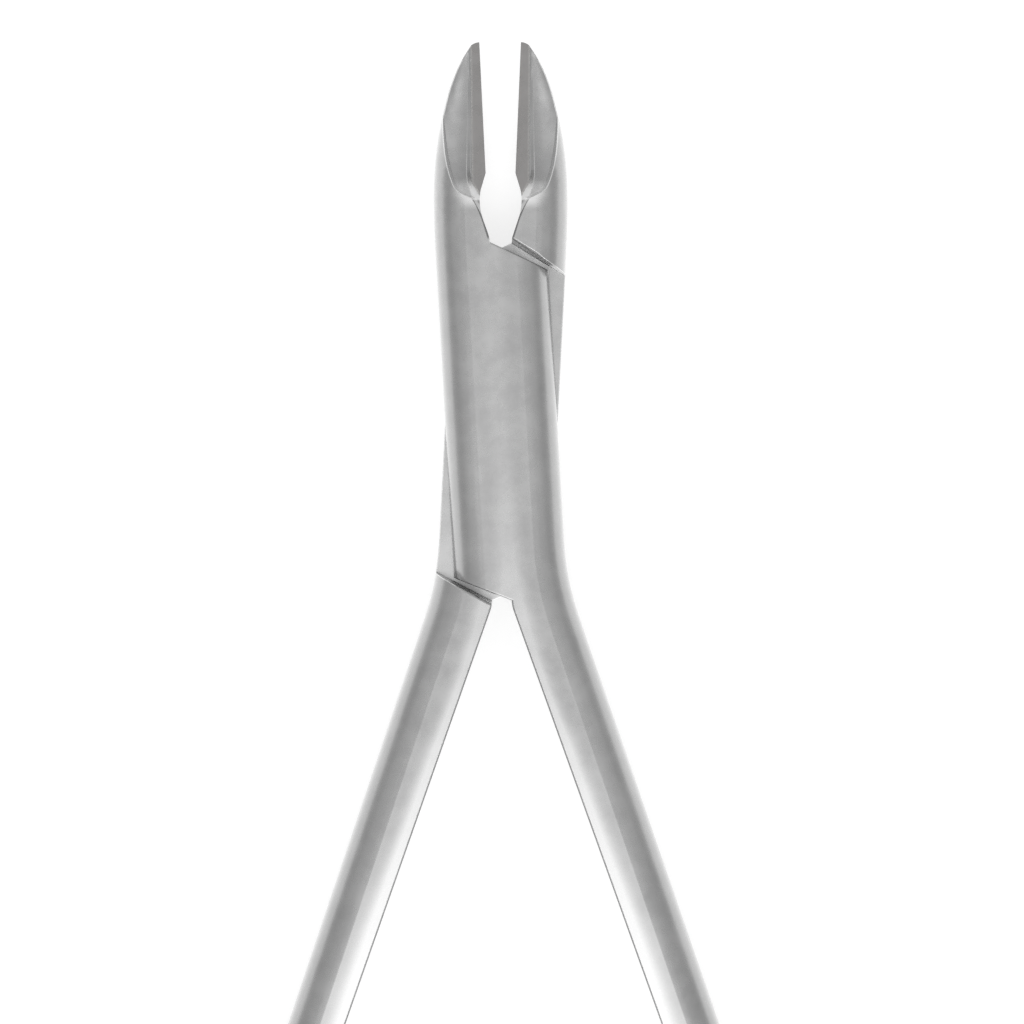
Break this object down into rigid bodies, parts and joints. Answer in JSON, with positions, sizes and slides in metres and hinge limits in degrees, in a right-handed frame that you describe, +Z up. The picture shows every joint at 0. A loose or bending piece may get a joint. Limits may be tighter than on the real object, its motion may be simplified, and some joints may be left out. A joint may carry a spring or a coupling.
{
  "type": "orthodontic pliers",
  "caption": "Slim orthodontic cutting pliers with a lap joint, hollow-ground tapered jaws, brazed cutting inserts and long bowed handles.",
  "frame": {"origin": "on the pivot axis, in the flat back face that the pliers lie on", "axes": "+Z up through the thickness to the front face, +Y from the pivot to the jaw tips, +X to the right seen from the front"},
  "size_m": [0.0508, 0.1334, 0.006],
  "materials": {
    "forged_steel": "satin, finely belt-ground and blasted stainless steel",
    "cutting_insert": "finely ground hard-metal cutting insert",
    "braze": "thin silver-solder seam, satin",
    "screw_steel": "turned stainless steel with a fine face"
  },
  "bodies": {
    "rear": {"rear_half": "forged_steel", "rear_cutting_insert": "cutting_insert", "rear_braze_seam": "braze"},
    "front": {"front_half": "forged_steel", "front_cutting_insert": "cutting_insert", "front_braze_seam": "braze", "pivot_screw": "screw_steel"}
  },
  "joints": [
    {"name": "pivot", "type": "hinge", "parent": "rear", "child": "front", "pos_m": [0, 0, 0.003], "axis": [0, 0, 1], "range_deg": [-6.2, 30]}
  ]
}
